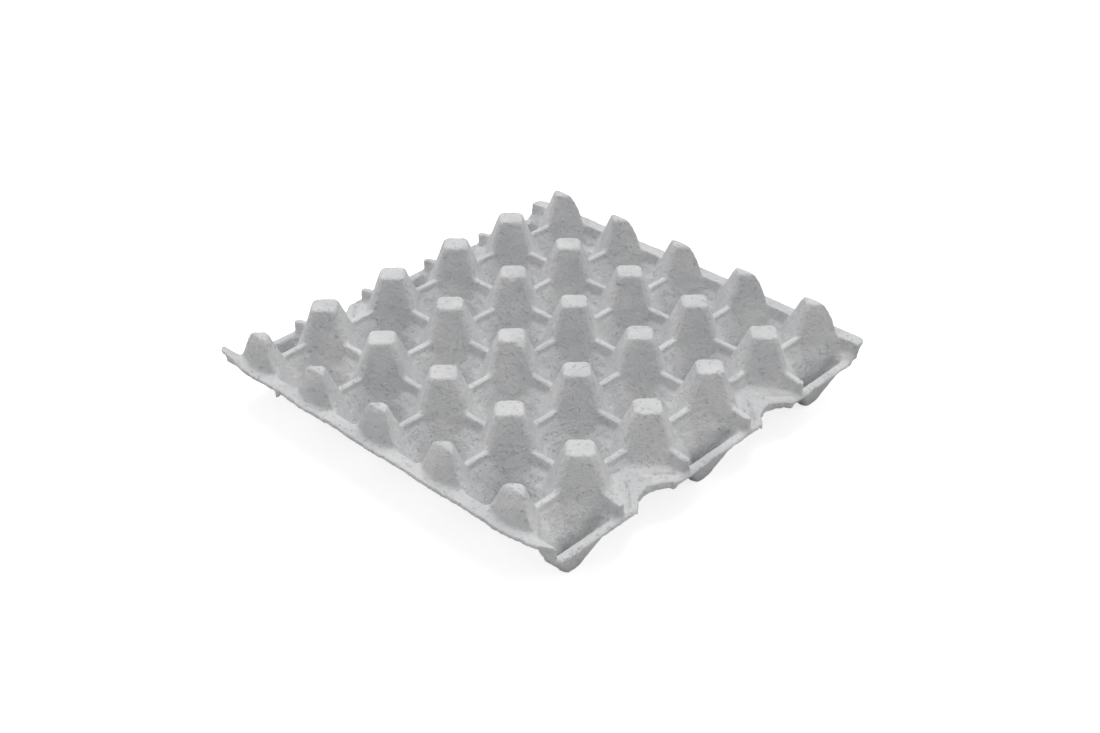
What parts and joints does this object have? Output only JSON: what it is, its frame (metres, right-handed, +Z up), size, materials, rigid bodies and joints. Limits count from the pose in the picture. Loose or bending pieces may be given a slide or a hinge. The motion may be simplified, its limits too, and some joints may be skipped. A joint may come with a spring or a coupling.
{
  "type": "egg tray",
  "caption": "Moulded pulp egg tray: a square grid of cupped cells between flat-topped peaks joined by ridges, with flat flanges on two sides and thumb notches in the other two.",
  "frame": {"origin": "on the table, under the middle of the tray, level with the undersides of the cups", "axes": "+Z up out of the cells; +Y along the longer row of cells, towards one flange; +X across it, towards one notched rim"},
  "size_m": [0.283, 0.2914, 0.056],
  "materials": {
    "moulded_pulp": "matt grey moulded paper pulp with a fine fibre grain"
  },
  "bodies": {
    "root": {"egg_tray": "moulded_pulp"}
  },
  "joints": []
}
